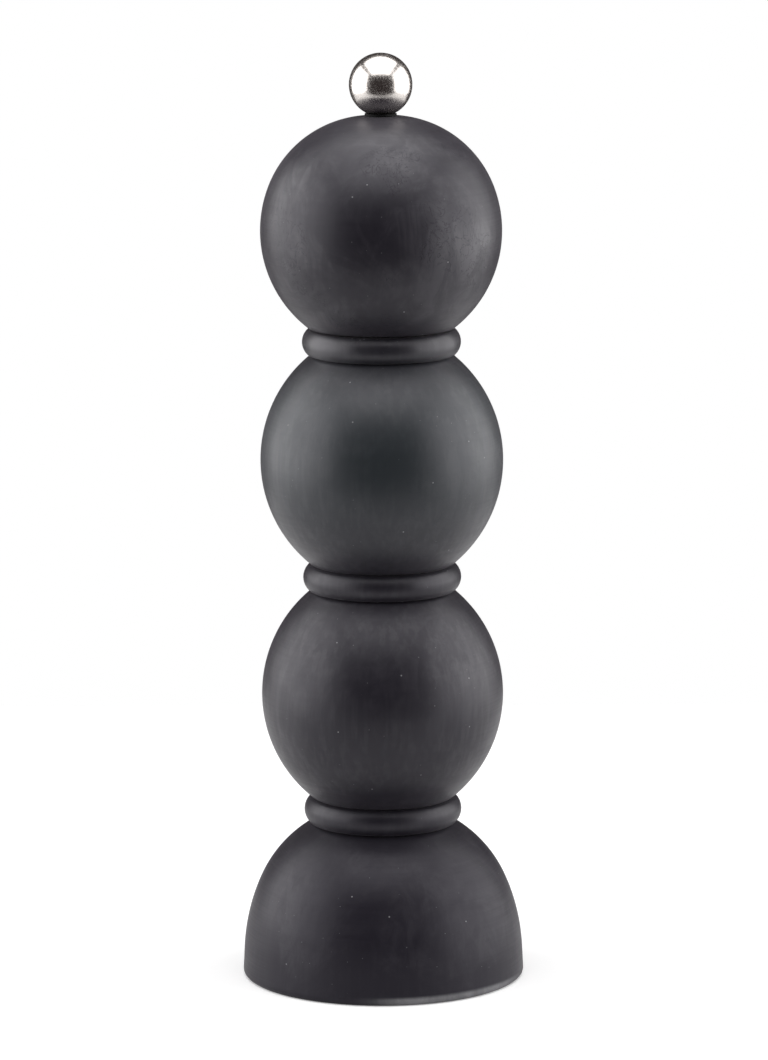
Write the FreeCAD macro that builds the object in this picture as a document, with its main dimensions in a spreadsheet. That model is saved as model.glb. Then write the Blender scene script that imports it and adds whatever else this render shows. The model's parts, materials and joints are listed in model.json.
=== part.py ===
"""Pepper mill: a turned bobbin body with a turning head, a ball nut on top and a ceramic
grinder in the foot.

Frame: millimetres, +Z up along the turning axis, origin at the centre of the foot's
resting face.  Every round piece is a profile in the XZ plane turned about Z.
"""
import FreeCAD, Part
import math
import os
import Sketcher

# ---------------------------------------------------------------- driving dimensions

DIMENSIONS = {
    # foot, the bell shape under the lowest ring
    "foot_radius": 36.61,
    "foot_edge_round": 1.3,
    "foot_wall_radius": 36.22,
    "foot_wall_height": 7.34,
    "foot_shoulder_radius": 31.79,
    "foot_shoulder_height": 25.47,
    "foot_neck_radius": 18.70,
    # rings and balls of the bobbin
    "ring_height": 43.67,
    "ring_pitch": 61.2,
    "ring_arc": 4.25,
    "ring_edge_radius": 18.95,
    "ball_arc": 34.85,
    "ball_edge_radius": 18.53,
    "seam_offset": 3.45,
    "seam_half_width": 0.25,
    "seam_floor_radius": 17.9,
    "turning_gap": 0.35,
    "gap_chamfer": 0.08,
    "gap_edge_radius": 18.72,
    # bores in the body
    "chamber_radius": 12.5,
    "mouth_radius": 13.75,
    "mouth_floor": 158.2,
    "mouth_chamfer": 0.7,
    "recess_radius": 24.3,
    "flange_seat": 9.2,
    "socket_radius": 17.4,
    "socket_top": 33.8,
    # head
    "head_edge_radius": 18.82,
    "head_arc": 31.46,
    "head_shoulder_radius": 28.55,
    "head_shoulder_height": 206.56,
    "head_land_radius": 4.1,
    "head_top": 223.94,
    "head_bore_radius": 3.2,
    "tenon_radius": 13.4,
    "tenon_bottom": 160.5,
    "tenon_chamfer": 0.6,
    # ball nut and its washer
    "knob_radius": 8.09,
    "knob_top": 240.0,
    "knob_seat_height": 224.6,
    "knob_bore_radius": 2.0,
    "knob_bore_top": 236.0,
    "knob_bore_point": 1.1,
    "knob_bore_chamfer": 0.35,
    "knob_washer_bore": 2.3,
    # spindle
    "rod_side": 4.4,
    "rod_corner": 0.4,
    "rod_bottom": 8.4,
    "rod_top": 212.0,
    "thread_radius": 1.95,
    "thread_top": 233.5,
    "thread_bottom": 3.6,
    "thread_chamfer": 0.4,
    "square_hole": 4.6,
    # drive plate under the head
    "plate_radius": 12.0,
    "plate_thickness": 1.5,
    "plate_screw_circle": 8.5,
    "plate_screw_head": 2.1,
    "plate_screw_shank": 1.1,
    "plate_screw_length": 9.0,
    # bridge over the grinder
    "bridge_length": 34.0,
    "bridge_width": 8.0,
    "bridge_thickness": 1.6,
    "bridge_bottom": 32.0,
    "bridge_bore": 3.1,
    "bridge_notch_play": 0.1,
    # grinder housing
    "flange_radius": 24.0,
    "flange_bottom": 7.2,
    "flange_chamfer": 0.4,
    "lip_radius": 13.7,
    "lip_top": 11.2,
    "cup_radius": 17.2,
    "cup_bore": 15.6,
    "cup_top": 33.7,
    "housing_screw_circle": 20.6,
    "housing_screw_head": 2.7,
    "housing_screw_shank": 1.4,
    "housing_screw_length": 10.0,
    # burrs
    "burr_ring_radius": 15.45,
    "burr_ring_top": 25.0,
    "burr_ring_mouth": 12.95,
    "burr_ring_throat": 10.76,
    "burr_ring_throat_height": 16.4,
    "burr_ring_funnel": 13.9,
    "burr_cone_bottom": 9.6,
    "burr_cone_radius": 12.9,
    "burr_cone_waist": 10.37,
    "burr_cone_waist_height": 15.6,
    "burr_cone_tip": 6.7,
    "burr_cone_top": 22.0,
    "burr_cone_bore": 5.1,
    "tooth_count": 30,
    "tooth_half_width": 0.85,
    "tooth_depth": 1.5,
    "tooth_height": 3.8,
    "flute_count": 6,
    "flute_radius": 1.9,
    "flute_circle": 9.9,
    "flute_bottom": 15.0,
    "burr_travel": 1.4,
    # driver inside the cone
    "driver_flange_radius": 8.0,
    "driver_bottom": 8.4,
    "driver_hub_radius": 5.0,
    "driver_top": 22.6,
    "key_reach": 6.0,
    "key_half_width": 0.8,
    "key_top": 19.0,
    "key_play": 0.1,
    # washers, spring and lock nut
    "washer_radius": 5.4,
    "washer_thickness": 0.8,
    "spring_bottom": 23.4,
    "spring_top": 31.0,
    "spring_wire_radius": 0.4,
    "spring_mean_radius": 4.2,
    "spring_turns": 5,
    "spring_play": 0.02,
    "nut_flats": 7.0,
    "nut_thickness": 3.2,
    "nut_bore": 2.0,
    # fasteners
    "screw_hole_play": 0.1,
    "recess_half_width": 0.3,
    "recess_depth": 0.8,
}

FULL_TURN = 360
SCREW_COUNT = 3
FIRST_SCREW_ANGLE = 90
KEY_COUNT = 3
NUT_SIDES = 6
RINGS = 3
MATCH_TOLERANCE = 1e-3

doc = FreeCAD.newDocument("pepper_mill")
sheet = doc.addObject("Spreadsheet::Sheet", "dims")
for row, (alias, value) in enumerate(DIMENSIONS.items(), start=1):
    sheet.set(f"A{row}", str(value))
    sheet.setAlias(f"A{row}", alias)
doc.recompute()

sub_parts = []


def size(expression):
    """The value of an expression in the sheet's names, as a number of millimetres."""
    return float(sheet.evalExpression(expression.replace("dims.", "")))


# ---------------------------------------------------------------- sketch helpers


def new_body(label):
    body = doc.addObject("PartDesign::Body", label)
    body.Label = label
    sub_parts.append(body)
    return body


def origin_feature(body, role):
    return next(item for item in body.Origin.OriginFeatures if item.Role == role)


def new_sketch(body, name, plane="XZ_Plane", height=None):
    """An empty sketch on one of the body's own planes, raised along Z to height."""
    sketch = body.newObject("Sketcher::SketchObject", f"{body.Label}_{name}")
    sketch.AttachmentSupport = (origin_feature(body, plane), [""])
    sketch.MapMode = "FlatFace"
    if height is not None:
        sketch.setExpression("AttachmentOffset.Base.z", height)
    return sketch


def drive(sketch, constraint, expression):
    """Add one constraint and bind its value to the sheet."""
    index = sketch.addConstraint(constraint)
    sketch.setExpression(f"Constraints[{index}]", expression)


def pin_point(sketch, geometry, end, x_text, y_text):
    """Fix one point of a sketch by its two distances from the origin."""
    for kind, text, axis in (("DistanceX", x_text, -2), ("DistanceY", y_text, -1)):
        if text == "0":
            sketch.addConstraint(Sketcher.Constraint("PointOnObject", geometry, end, axis))
        else:
            start = Sketcher.Constraint(kind, -1, 1, geometry, end, size(text))
            drive(sketch, start, text)


def arc_centre(start, end, radius):
    """Centre of the arc from start to end that turns left (radius > 0) or right."""
    middle = (start + end) * 0.5
    chord = end - start
    left = FreeCAD.Vector(-chord.y, chord.x, 0).normalize()
    rise = math.sqrt(max(radius * radius - chord.Length * chord.Length / 4, 0))
    return middle + left * math.copysign(rise, radius)


def tangent_radius(start, end, direction):
    """Signed radius of the arc from start to end that leaves start along direction."""
    chord = end - start
    across = direction.x * chord.y - direction.y * chord.x
    return chord.Length * chord.Length / (2 * across)


def outline(sketch, corners, arcs=None):
    """Closed outline through corners, anticlockwise, each corner a pair of expressions.

    arcs maps an edge's number to its radius expression, or to "tangent" where the edge
    carries on smoothly from the one before; every other edge is straight.
    """
    arcs = arcs or {}
    points = [FreeCAD.Vector(size(x), size(y), 0) for x, y in corners]
    ends = []
    heading = None
    for edge, start in enumerate(points):
        end = points[(edge + 1) % len(points)]
        kind = arcs.get(edge)
        if kind is None:
            geometry = sketch.addGeometry(Part.LineSegment(start, end), False)
            ends.append((geometry, 1, 2))
            heading = (end - start).normalize()
            continue
        tangent = kind == "tangent"
        radius = tangent_radius(start, end, heading) if tangent else size(kind)
        centre = arc_centre(start, end, radius)
        first, last = (start, end) if radius > 0 else (end, start)
        circle = Part.Circle(centre, FreeCAD.Vector(0, 0, 1), abs(radius))
        angles = [math.atan2(p.y - centre.y, p.x - centre.x) for p in (first, last)]
        if angles[1] < angles[0]:
            angles[1] += 2 * math.pi
        geometry = sketch.addGeometry(Part.ArcOfCircle(circle, *angles), False)
        ends.append((geometry, 1, 2) if radius > 0 else (geometry, 2, 1))
        spoke = end - centre
        turn = math.copysign(1, radius)
        heading = FreeCAD.Vector(-spoke.y * turn, spoke.x * turn, 0).normalize()
        if not tangent:
            fixed = Sketcher.Constraint("Radius", geometry, abs(radius))
            drive(sketch, fixed, kind)
    for edge, (geometry, start_end, _) in enumerate(ends):
        before, _, before_end = ends[edge - 1]
        pin_point(sketch, geometry, start_end, *corners[edge])
        joint = "Tangent" if arcs.get(edge) == "tangent" else "Coincident"
        sketch.addConstraint(
            Sketcher.Constraint(joint, before, before_end, geometry, start_end)
        )
    return sketch


def ring_outline(sketch, inner, outer, bottom, top):
    """Rectangle in the XZ plane between two radii and two heights."""
    corners = [(inner, bottom), (outer, bottom), (outer, top), (inner, top)]
    return outline(sketch, corners)


def rectangle(sketch, half_x, half_y, centre_y="0"):
    """Rectangle about the Y axis, centred at centre_y."""
    low = f"{centre_y} - {half_y}"
    high = f"{centre_y} + {half_y}"
    corners = [(f"-{half_x}", low), (half_x, low), (half_x, high), (f"-{half_x}", high)]
    return outline(sketch, corners)


def circle(sketch, radius, x_text="0", y_text="0"):
    centre = FreeCAD.Vector(size(x_text), size(y_text), 0)
    round_edge = Part.Circle(centre, FreeCAD.Vector(0, 0, 1), size(radius))
    geometry = sketch.addGeometry(round_edge, False)
    pin_point(sketch, geometry, 3, x_text, y_text)
    drive(sketch, Sketcher.Constraint("Radius", geometry, size(radius)), radius)
    return sketch


# ---------------------------------------------------------------- feature helpers


def turned(body, sketch):
    """Turn a profile once about the body's Z axis."""
    feature = body.newObject("PartDesign::Revolution", f"{sketch.Name}_turned")
    feature.Profile = sketch
    feature.ReferenceAxis = (sketch, ["V_Axis"])
    feature.Angle = FULL_TURN
    return feature


def padded_up(body, sketch, length):
    feature = body.newObject("PartDesign::Pad", f"{sketch.Name}_pad")
    feature.Profile = sketch
    feature.setExpression("Length", length)
    return feature


def cut_up(body, sketch, depth):
    """Pocket that runs upwards from its sketch."""
    feature = body.newObject("PartDesign::Pocket", f"{sketch.Name}_cut")
    feature.Profile = sketch
    feature.Reversed = True
    feature.setExpression("Length", depth)
    return feature


def around(body, features, count):
    """Repeat features evenly about the body's Z axis."""
    pattern = body.newObject("PartDesign::PolarPattern", f"{features[0].Name}_around")
    pattern.Originals = features
    pattern.Axis = (origin_feature(body, "Z_Axis"), [""])
    pattern.Angle = FULL_TURN
    pattern.Occurrences = count
    body.Tip = pattern
    return pattern


def circular_edges(feature, radius, height):
    """Names of a feature's circular edges of one radius at one height."""
    doc.recompute()
    names = []
    for number, edge in enumerate(feature.Shape.Edges, start=1):
        curve = edge.Curve
        if not isinstance(curve, Part.Circle):
            continue
        same_radius = abs(curve.Radius - size(radius)) < MATCH_TOLERANCE
        same_height = abs(curve.Center.z - size(height)) < MATCH_TOLERANCE
        if same_radius and same_height:
            names.append(f"Edge{number}")
    return names


def upright_edges(feature):
    """Names of a feature's straight edges that run along Z."""
    doc.recompute()
    names = []
    for number, edge in enumerate(feature.Shape.Edges, start=1):
        if abs(edge.tangentAt(edge.FirstParameter).z) > 1 - MATCH_TOLERANCE:
            names.append(f"Edge{number}")
    return names


def rounded(body, feature, edges, fillet):
    """Round a feature's named edges."""
    rounding = body.newObject("PartDesign::Fillet", f"{feature.Name}_round")
    rounding.Base = (feature, edges)
    rounding.setExpression("Radius", fillet)
    body.Tip = rounding
    return rounding


def screw_holes(body, screw, bottom, depth):
    """Holes for one kind of screw, countersunk at the bottom, spaced round the Z axis."""
    bore = f"dims.{screw}_shank + dims.screw_hole_play"
    sketch = new_sketch(body, "hole", "XY_Plane", bottom)
    hole = cut_up(body, circle(sketch, bore, "0", f"dims.{screw}_circle"), depth)
    sink = body.newObject("PartDesign::Chamfer", f"{body.Label}_countersink")
    sink.Base = (hole, circular_edges(hole, bore, bottom))
    sink.setExpression("Size", f"dims.{screw}_head - dims.{screw}_shank")
    around(body, [hole, sink], SCREW_COUNT)


def pilot_holes(body, screw, bottom):
    """Blind holes that one kind of screw bites into, spaced round the Z axis."""
    bore = f"dims.{screw}_shank + dims.screw_hole_play"
    sketch = circle(new_sketch(body, "pilot", "XY_Plane", bottom), bore, "0", f"dims.{screw}_circle")
    around(body, [cut_up(body, sketch, f"dims.{screw}_length")], SCREW_COUNT)


def square_hole(body, bottom, depth):
    """Hole that slides on the square spindle."""
    sketch = new_sketch(body, "square", "XY_Plane", bottom)
    rectangle(sketch, "dims.square_hole / 2", "dims.square_hole / 2")
    cut_up(body, sketch, depth)


# ---------------------------------------------------------------- wooden pieces


def ring_z(number, offset=""):
    """Height expression on ring 0, 1 or 2, counted from the foot."""
    return f"dims.ring_height + {number} * dims.ring_pitch{offset}"


LOWER_SEAM = " - dims.seam_offset"
UPPER_SEAM = " + dims.seam_offset"
TURNING_SEAM = ring_z(RINGS - 1, UPPER_SEAM)
BODY_TOP = f"{TURNING_SEAM} - dims.turning_gap / 2"
HEAD_BOTTOM = f"{TURNING_SEAM} + dims.turning_gap / 2"


def make_body():
    """One turning: bell foot, three rings and two balls, with grooves for the seams."""
    body = new_body("body")
    corners = [
        ("dims.recess_radius", "0"),
        ("dims.foot_radius", "0"),
        ("dims.foot_wall_radius", "dims.foot_wall_height"),
        ("dims.foot_shoulder_radius", "dims.foot_shoulder_height"),
    ]
    arcs = {2: "tangent", 3: "tangent"}
    for number in range(RINGS):
        below = ring_z(number, LOWER_SEAM)
        edge = "dims.foot_neck_radius" if number == 0 else "dims.ball_edge_radius"
        corners += [
            (edge, f"{below} - dims.seam_half_width"),
            ("dims.seam_floor_radius", below),
            ("dims.ring_edge_radius", f"{below} + dims.seam_half_width"),
        ]
        arcs[len(corners) - 1] = "dims.ring_arc"
        if number < RINGS - 1:
            above = ring_z(number, UPPER_SEAM)
            corners += [
                ("dims.ring_edge_radius", f"{above} - dims.seam_half_width"),
                ("dims.seam_floor_radius", above),
                ("dims.ball_edge_radius", f"{above} + dims.seam_half_width"),
            ]
            arcs[len(corners) - 1] = "dims.ball_arc"
    corners += [
        ("dims.ring_edge_radius", f"{BODY_TOP} - dims.gap_chamfer"),
        ("dims.gap_edge_radius", BODY_TOP),
        ("dims.mouth_radius + dims.mouth_chamfer", BODY_TOP),
        ("dims.mouth_radius", f"{BODY_TOP} - dims.mouth_chamfer"),
        ("dims.mouth_radius", "dims.mouth_floor"),
        ("dims.chamber_radius", "dims.mouth_floor"),
        ("dims.chamber_radius", "dims.socket_top"),
        ("dims.socket_radius", "dims.socket_top"),
        ("dims.socket_radius", "dims.flange_seat"),
        ("dims.recess_radius", "dims.flange_seat"),
    ]
    turning = turned(body, outline(new_sketch(body, "profile"), corners, arcs))
    foot_edge = circular_edges(turning, "dims.foot_radius", "0")
    rounded(body, turning, foot_edge, "dims.foot_edge_round")
    pilot_holes(body, "housing_screw", "dims.flange_seat")


def make_head():
    """Turned ball with a tenon that drops into the body's mouth."""
    body = new_body("head")
    corners = [
        ("dims.head_bore_radius", "dims.tenon_bottom"),
        ("dims.tenon_radius - dims.tenon_chamfer", "dims.tenon_bottom"),
        ("dims.tenon_radius", "dims.tenon_bottom + dims.tenon_chamfer"),
        ("dims.tenon_radius", HEAD_BOTTOM),
        ("dims.gap_edge_radius", HEAD_BOTTOM),
        ("dims.head_edge_radius", f"{HEAD_BOTTOM} + dims.gap_chamfer"),
        ("dims.head_shoulder_radius", "dims.head_shoulder_height"),
        ("dims.head_land_radius", "dims.head_top"),
        ("dims.head_bore_radius", "dims.head_top"),
    ]
    arcs = {5: "dims.head_arc", 6: "tangent"}
    turned(body, outline(new_sketch(body, "profile"), corners, arcs))
    pilot_holes(body, "plate_screw", "dims.tenon_bottom")


# ---------------------------------------------------------------- ball nut


def make_knob():
    """Steel ball with a small flat underneath and a blind threaded bore."""
    body = new_body("knob")
    centre = "(dims.knob_top - dims.knob_radius)"
    flat = f"sqrt(dims.knob_radius ^ 2 - (dims.knob_seat_height - {centre}) ^ 2)"
    corners = [
        ("dims.knob_bore_radius + dims.knob_bore_chamfer", "dims.knob_seat_height"),
        (flat, "dims.knob_seat_height"),
        ("0", "dims.knob_top"),
        ("0", "dims.knob_bore_top + dims.knob_bore_point"),
        ("dims.knob_bore_radius", "dims.knob_bore_top"),
        ("dims.knob_bore_radius", "dims.knob_seat_height + dims.knob_bore_chamfer"),
    ]
    arcs = {1: "dims.knob_radius"}
    turned(body, outline(new_sketch(body, "profile"), corners, arcs))


def make_knob_washer():
    body = new_body("knob_washer")
    profile = new_sketch(body, "profile")
    inner = "dims.knob_washer_bore"
    outer = "dims.head_land_radius"
    turned(body, ring_outline(profile, inner, outer, "dims.head_top", "dims.knob_seat_height"))


# ---------------------------------------------------------------- spindle and drive


def make_spindle():
    """Square rod with a threaded stem at each end."""
    body = new_body("spindle")
    square = new_sketch(body, "square", "XY_Plane", "dims.rod_bottom")
    rectangle(square, "dims.rod_side / 2", "dims.rod_side / 2")
    rod = padded_up(body, square, "dims.rod_top - dims.rod_bottom")
    rounded(body, rod, upright_edges(rod), "dims.rod_corner")
    stem = new_sketch(body, "stems")
    waist = "dims.thread_radius - dims.thread_chamfer"
    points = [
        ("0", "dims.thread_bottom"),
        (waist, "dims.thread_bottom"),
        ("dims.thread_radius", "dims.thread_bottom + dims.thread_chamfer"),
        ("dims.thread_radius", "dims.thread_top - dims.thread_chamfer"),
        (waist, "dims.thread_top"),
        ("0", "dims.thread_top"),
    ]
    turned(body, outline(stem, points))


def make_drive_plate():
    """Steel disc under the tenon whose square hole turns the spindle."""
    body = new_body("drive_plate")
    bottom = "dims.tenon_bottom - dims.plate_thickness"
    disc = circle(new_sketch(body, "disc", "XY_Plane", bottom), "dims.plate_radius")
    padded_up(body, disc, "dims.plate_thickness")
    square_hole(body, bottom, "dims.plate_thickness")
    screw_holes(body, "plate_screw", bottom, "dims.plate_thickness")


def make_screw(screw, number, height):
    """Countersunk wood screw, point up, with a cross recess, placed on its circle."""
    body = new_body(f"{screw}_{number + 1}")
    angle = FIRST_SCREW_ANGLE + number * FULL_TURN // SCREW_COUNT
    head = f"dims.{screw}_head"
    shank = f"dims.{screw}_shank"
    length = f"dims.{screw}_length"
    corners = [
        ("0", "0"),
        (head, "0"),
        (shank, f"{head} - {shank}"),
        (shank, f"{length} - {shank}"),
        ("0", length),
    ]
    turned(body, outline(new_sketch(body, "profile"), corners))
    reach = f"{head} * 2 / 3"
    for name, half_x, half_y in (
        ("slot_x", reach, "dims.recess_half_width"),
        ("slot_y", "dims.recess_half_width", reach),
    ):
        slot = rectangle(new_sketch(body, name, "XY_Plane"), half_x, half_y)
        cut_up(body, slot, "dims.recess_depth")
    body.setExpression("Placement.Base.x", f"dims.{screw}_circle * cos({angle})")
    body.setExpression("Placement.Base.y", f"dims.{screw}_circle * sin({angle})")
    body.setExpression("Placement.Base.z", height)


def make_screws():
    for number in range(SCREW_COUNT):
        make_screw("plate_screw", number, "dims.tenon_bottom - dims.plate_thickness")
        make_screw("housing_screw", number, "dims.flange_bottom")


# ---------------------------------------------------------------- grinder


def make_bridge():
    """Flat steel bar across the top of the housing, guiding the spindle."""
    body = new_body("bridge")
    half = "dims.bridge_width / 2"
    reach = "sqrt((dims.bridge_length / 2) ^ 2 - (dims.bridge_width / 2) ^ 2)"
    corners = [(f"-{reach}", f"-{half}"), (reach, f"-{half}"), (reach, half), (f"-{reach}", half)]
    arcs = {1: "dims.bridge_length / 2", 3: "dims.bridge_length / 2"}
    bar = new_sketch(body, "bar", "XY_Plane", "dims.bridge_bottom")
    padded_up(body, outline(bar, corners, arcs), "dims.bridge_thickness")
    hole = new_sketch(body, "hole", "XY_Plane", "dims.bridge_bottom")
    cut_up(body, circle(hole, "dims.bridge_bore"), "dims.bridge_thickness")


def make_grinder_housing():
    """Plastic cup with a screwed flange; it holds the burr ring and the bridge."""
    body = new_body("grinder_housing")
    corners = [
        ("dims.lip_radius", "dims.flange_bottom"),
        ("dims.flange_radius - dims.flange_chamfer", "dims.flange_bottom"),
        ("dims.flange_radius", "dims.flange_bottom + dims.flange_chamfer"),
        ("dims.flange_radius", "dims.flange_seat"),
        ("dims.cup_radius", "dims.flange_seat"),
        ("dims.cup_radius", "dims.cup_top"),
        ("dims.cup_bore", "dims.cup_top"),
        ("dims.cup_bore", "dims.lip_top"),
        ("dims.lip_radius", "dims.lip_top"),
    ]
    turned(body, outline(new_sketch(body, "profile"), corners))
    notch = new_sketch(body, "notch", "XY_Plane", "dims.bridge_bottom")
    rectangle(notch, "dims.cup_radius", "(dims.bridge_width / 2 + dims.bridge_notch_play)")
    cut_up(body, notch, "dims.cup_top - dims.bridge_bottom")
    flange_thickness = "dims.flange_seat - dims.flange_bottom"
    screw_holes(body, "housing_screw", "dims.flange_bottom", flange_thickness)


def toothed(body, name, height, apex, base, depth):
    """Cut one upright V groove from its base to its apex and repeat it round the axis."""
    groove = new_sketch(body, name, "XY_Plane", height)
    half = "dims.tooth_half_width"
    corners = [("0", apex), (half, base), (f"-{half}", base)]
    outline(groove, corners)
    around(body, [cut_up(body, groove, depth)], DIMENSIONS["tooth_count"])


def make_burr_ring():
    """Fixed ceramic burr: toothed cone below, feed funnel above."""
    body = new_body("burr_ring")
    corners = [
        ("dims.burr_ring_mouth", "dims.lip_top"),
        ("dims.burr_ring_radius", "dims.lip_top"),
        ("dims.burr_ring_radius", "dims.burr_ring_top"),
        ("dims.burr_ring_funnel", "dims.burr_ring_top"),
        ("dims.burr_ring_throat", "dims.burr_ring_throat_height"),
    ]
    turned(body, outline(new_sketch(body, "profile"), corners))
    apex = "dims.burr_ring_mouth + dims.tooth_depth / 2"
    base = "dims.burr_ring_throat"
    toothed(body, "teeth", "dims.lip_top", apex, base, "dims.tooth_height / 2")


def make_burr_cone():
    """Turning ceramic burr: fine teeth round the rim, feed flutes above them."""
    body = new_body("burr_cone")
    corners = [
        ("dims.burr_cone_bore", "dims.burr_cone_bottom"),
        ("dims.burr_cone_radius", "dims.burr_cone_bottom"),
        ("dims.burr_cone_waist", "dims.burr_cone_waist_height"),
        ("dims.burr_cone_tip", "dims.burr_cone_top"),
        ("dims.burr_cone_bore", "dims.burr_cone_top"),
    ]
    turned(body, outline(new_sketch(body, "profile"), corners))
    apex = "dims.burr_cone_radius - dims.tooth_depth"
    base = "dims.burr_cone_radius + dims.tooth_depth / 10"
    toothed(body, "teeth", "dims.burr_cone_bottom", apex, base, "dims.tooth_height")
    flute = new_sketch(body, "flute", "XY_Plane", "dims.flute_bottom")
    circle(flute, "dims.flute_radius", "0", "dims.flute_circle")
    cut = cut_up(body, flute, "dims.burr_cone_top - dims.flute_bottom")
    around(body, [cut], DIMENSIONS["flute_count"])
    slot = new_sketch(body, "key_slot", "XY_Plane", "dims.burr_cone_bottom")
    reach = "(dims.key_reach + dims.key_play) / 2"
    rectangle(slot, "(dims.key_half_width + dims.key_play)", reach, reach)
    depth = "dims.key_top + dims.key_play - dims.burr_cone_bottom"
    around(body, [cut_up(body, slot, depth)], KEY_COUNT)


def make_burr_driver():
    """Plastic hub with keys that carries the cone on the square spindle."""
    body = new_body("burr_driver")
    corners = [
        ("0", "dims.driver_bottom"),
        ("dims.driver_flange_radius", "dims.driver_bottom"),
        ("dims.driver_flange_radius", "dims.burr_cone_bottom"),
        ("dims.driver_hub_radius", "dims.burr_cone_bottom"),
        ("dims.driver_hub_radius", "dims.driver_top"),
        ("0", "dims.driver_top"),
    ]
    turned(body, outline(new_sketch(body, "profile"), corners))
    key = new_sketch(body, "key", "XY_Plane", "dims.burr_cone_bottom")
    rectangle(key, "dims.key_half_width", "dims.key_reach / 2", "dims.key_reach / 2")
    rib = padded_up(body, key, "dims.key_top - dims.burr_cone_bottom")
    around(body, [rib], KEY_COUNT)
    square_hole(body, "dims.driver_bottom", "dims.driver_top - dims.driver_bottom")


def make_square_washer(label, bottom):
    """Thrust washer that turns with the square spindle."""
    body = new_body(label)
    disc = circle(new_sketch(body, "disc", "XY_Plane", bottom), "dims.washer_radius")
    padded_up(body, disc, "dims.washer_thickness")
    square_hole(body, bottom, "dims.washer_thickness")


def make_retaining_washer():
    body = new_body("retaining_washer")
    bottom = "dims.driver_bottom - dims.washer_thickness"
    profile = new_sketch(body, "profile")
    ring_outline(profile, "dims.nut_bore", "dims.washer_radius", bottom, "dims.driver_bottom")
    turned(body, profile)


def make_lock_nut():
    """Hexagon nut under the driver."""
    body = new_body("lock_nut")
    bottom = "dims.driver_bottom - dims.washer_thickness - dims.nut_thickness"
    corner_radius = "dims.nut_flats / sqrt(3)"
    half_side = FULL_TURN // NUT_SIDES // 2
    angles = [half_side * (2 * number + 1) for number in range(NUT_SIDES)]
    corners = [(f"{corner_radius} * cos({a})", f"{corner_radius} * sin({a})") for a in angles]
    hexagon = outline(new_sketch(body, "hexagon", "XY_Plane", bottom), corners)
    padded_up(body, hexagon, "dims.nut_thickness")
    hole = new_sketch(body, "hole", "XY_Plane", bottom)
    cut_up(body, circle(hole, "dims.nut_bore"), "dims.nut_thickness")


def make_spring():
    """Round-wire compression spring that pushes the cone down and open."""
    body = new_body("spring")
    wire = new_sketch(body, "wire")
    start = "dims.spring_bottom + dims.spring_wire_radius + dims.spring_play"
    circle(wire, "dims.spring_wire_radius", "dims.spring_mean_radius", start)
    coil = body.newObject("PartDesign::AdditiveHelix", "spring_coil")
    coil.Profile = wire
    coil.ReferenceAxis = (wire, ["V_Axis"])
    coil.Mode = "pitch-turns-angle"
    ends = "2 * (dims.spring_wire_radius + dims.spring_play)"
    rise = f"(dims.spring_top - dims.spring_bottom - {ends})"
    coil.setExpression("Pitch", f"{rise} / dims.spring_turns")
    coil.setExpression("Turns", "dims.spring_turns")


# ---------------------------------------------------------------- build and write


def build_all():
    make_body()
    make_head()
    make_knob()
    make_knob_washer()
    make_spindle()
    make_drive_plate()
    make_screws()
    make_bridge()
    make_grinder_housing()
    make_burr_ring()
    make_burr_cone()
    make_burr_driver()
    make_square_washer("spring_washer_top", "dims.spring_top")
    make_square_washer("spring_washer_bottom", "dims.spring_bottom - dims.washer_thickness")
    make_retaining_washer()
    make_lock_nut()
    make_spring()
    doc.recompute()


def check_document():
    """Stop if any object failed or any sub-part is not one valid solid."""
    for item in doc.Objects:
        if "Invalid" in item.State or "Error" in item.State:
            raise RuntimeError(f"{item.Name} failed: {item.State}")
        if item.TypeId == "Sketcher::SketchObject" and not item.FullyConstrained:
            raise RuntimeError(f"{item.Name} is not fully constrained")
    for item in sub_parts:
        shape = item.Shape
        if shape.isNull() or not shape.isValid() or len(shape.Solids) != 1:
            raise RuntimeError(f"{item.Label} is not one valid solid")


def check_grinding_travel():
    """Stop if the burrs would meet when the cone is drawn fully up."""
    raised = doc.getObject("burr_cone").Shape.copy()
    raised.translate(FreeCAD.Vector(0, 0, size("dims.burr_travel")))
    overlap = raised.common(doc.getObject("burr_ring").Shape).Volume
    if overlap > MATCH_TOLERANCE:
        raise RuntimeError(f"the burrs overlap by {overlap} cubic millimetres")


def write_steps():
    os.makedirs("parts", exist_ok=True)
    for item in sub_parts:
        item.Shape.exportStep(os.path.join("parts", f"{item.Label}.step"))
        print(f"{item.Label:22s} {item.Shape.Volume:10.1f} cubic millimetres")


build_all()
check_document()
check_grinding_travel()
write_steps()
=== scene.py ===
"""Looks of the turned pepper mill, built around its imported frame.

The file is laid out as an add-on: property groups hold the sizes and colours, one operator
makes each piece or group of like pieces, and a panel lists them.  All lengths are metres.
"""
import functools
import json
import math

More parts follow.
